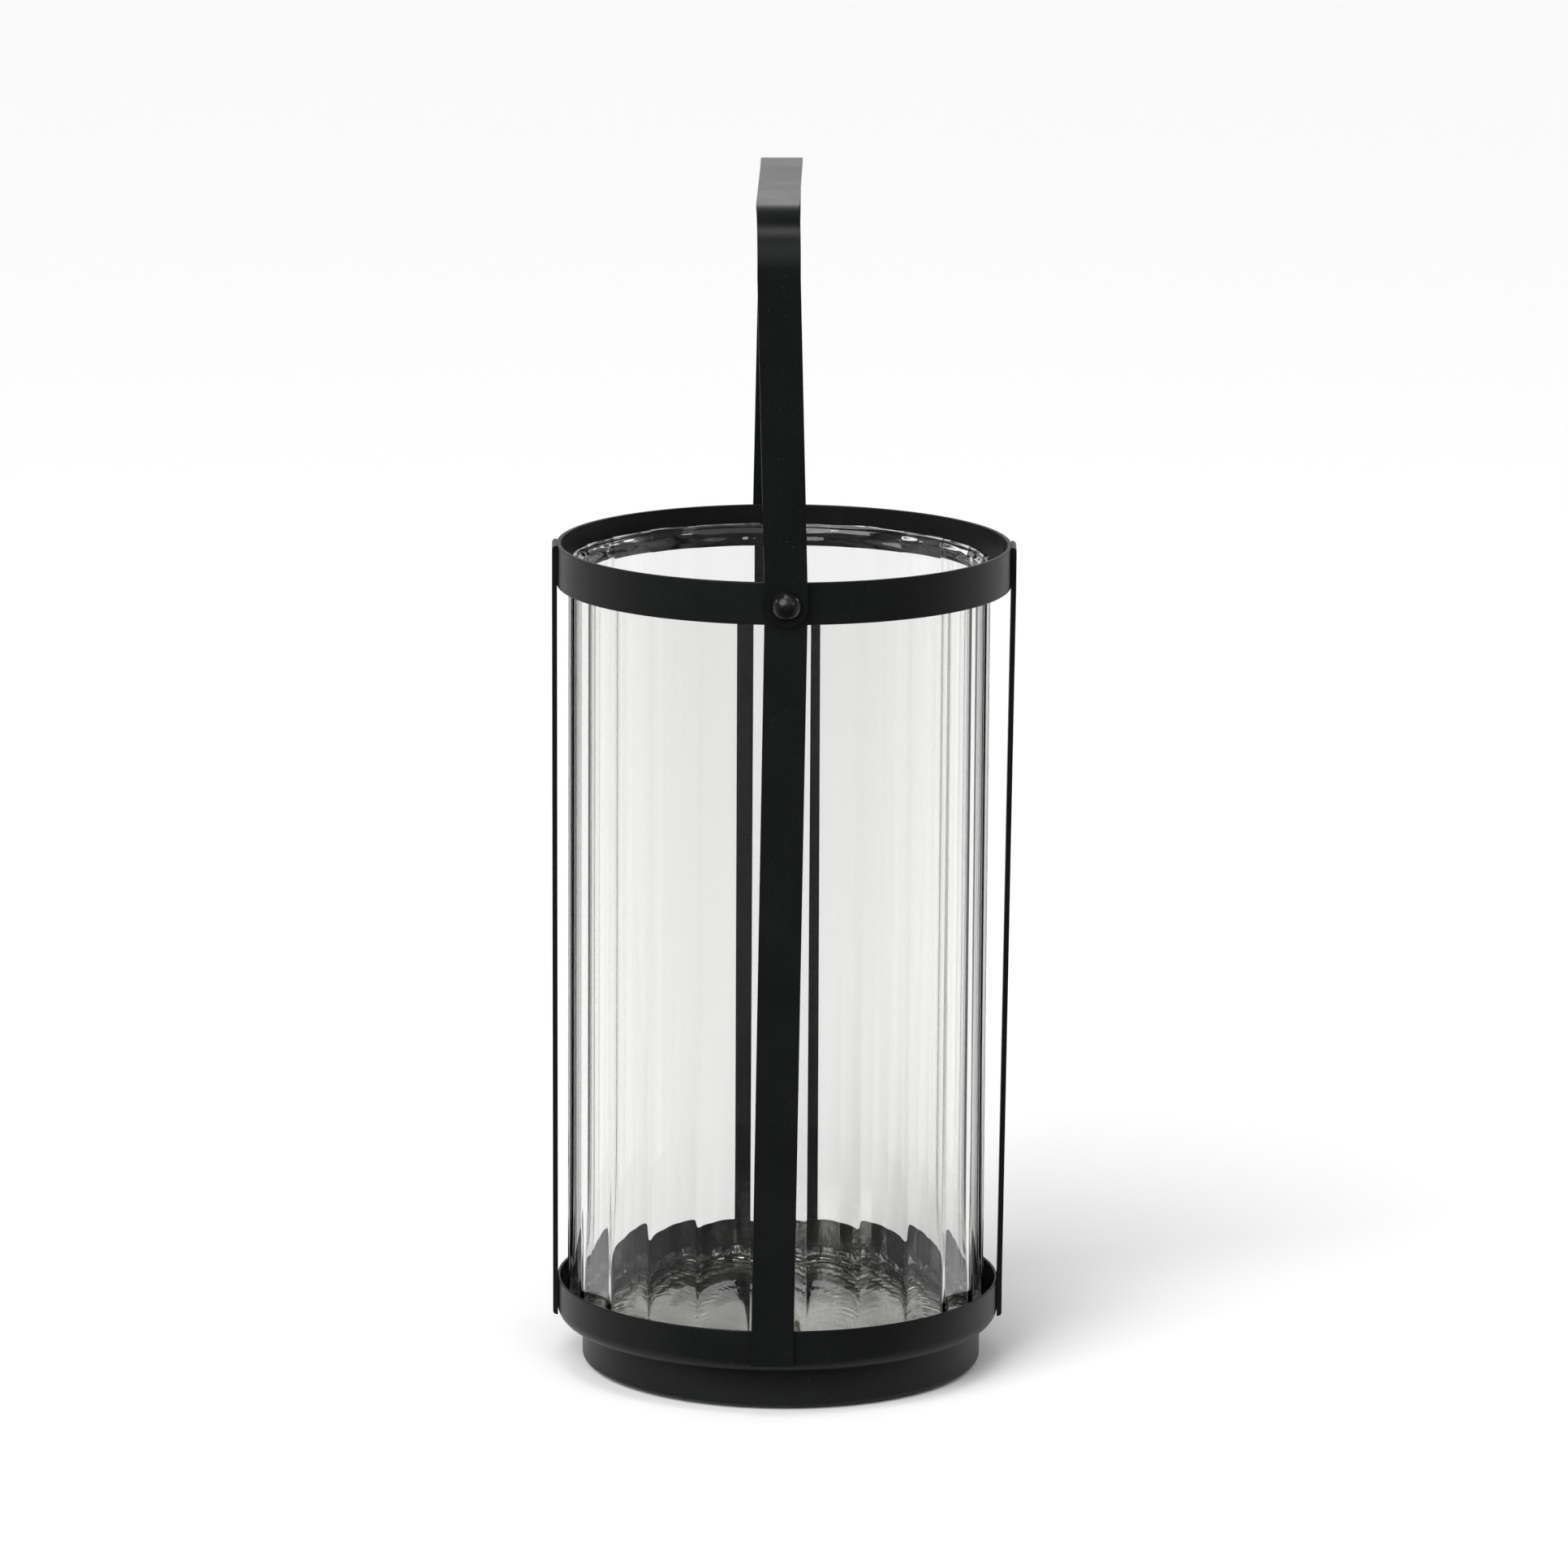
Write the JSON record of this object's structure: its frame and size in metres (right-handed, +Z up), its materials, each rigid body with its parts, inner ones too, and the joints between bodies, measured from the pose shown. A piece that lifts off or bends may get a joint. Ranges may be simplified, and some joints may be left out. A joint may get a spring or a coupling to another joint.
{
  "type": "candle lantern",
  "caption": "Candle lantern: a black steel strip cage on a stepped round base, with a clear fluted glass cylinder standing in its pan and a flat bail handle that swings on rivets.",
  "frame": {"origin": "middle of the round footprint, at the surface the lantern stands on", "axes": "+Z up; the bail's pivot axis runs along Y, 1.3 mm to -X of the middle, front is -Y; +X is to the right seen from the front"},
  "size_m": [0.133, 0.1446, 0.345],
  "materials": {
    "black_metal": "satin black powder coat",
    "black_rivet": "semi-gloss black paint on steel",
    "glass": "clear pressed glass, fire-polished, faint grey-green edge tint",
    "felt": "black wool felt"
  },
  "bodies": {
    "frame": {"base_felt": "felt", "base_foot": "black_metal", "base_pan": "black_metal", "top_ring": "black_metal", "strap_front": "black_metal", "strap_back": "black_metal", "strap_left": "black_metal", "strap_right": "black_metal", "pivot_rivet_front": "black_rivet", "pivot_rivet_back": "black_rivet", "spacer_washer_front": "black_rivet", "spacer_washer_back": "black_rivet", "backing_washer_front": "black_rivet", "backing_washer_back": "black_rivet"},
    "bail": {"bail_handle": "black_metal"},
    "glass": {"glass_insert": "glass"}
  },
  "joints": [
    {"name": "bail_swing", "type": "hinge", "parent": "frame", "child": "bail", "pos_m": [-0.0013, 0, 0.235], "axis": [0, 1, 0], "range_deg": [-138, 136]},
    {"name": "glass_lift", "type": "slide", "parent": "frame", "child": "glass", "axis": [0, 0, 1], "range_m": [0, 0.1]}
  ]
}
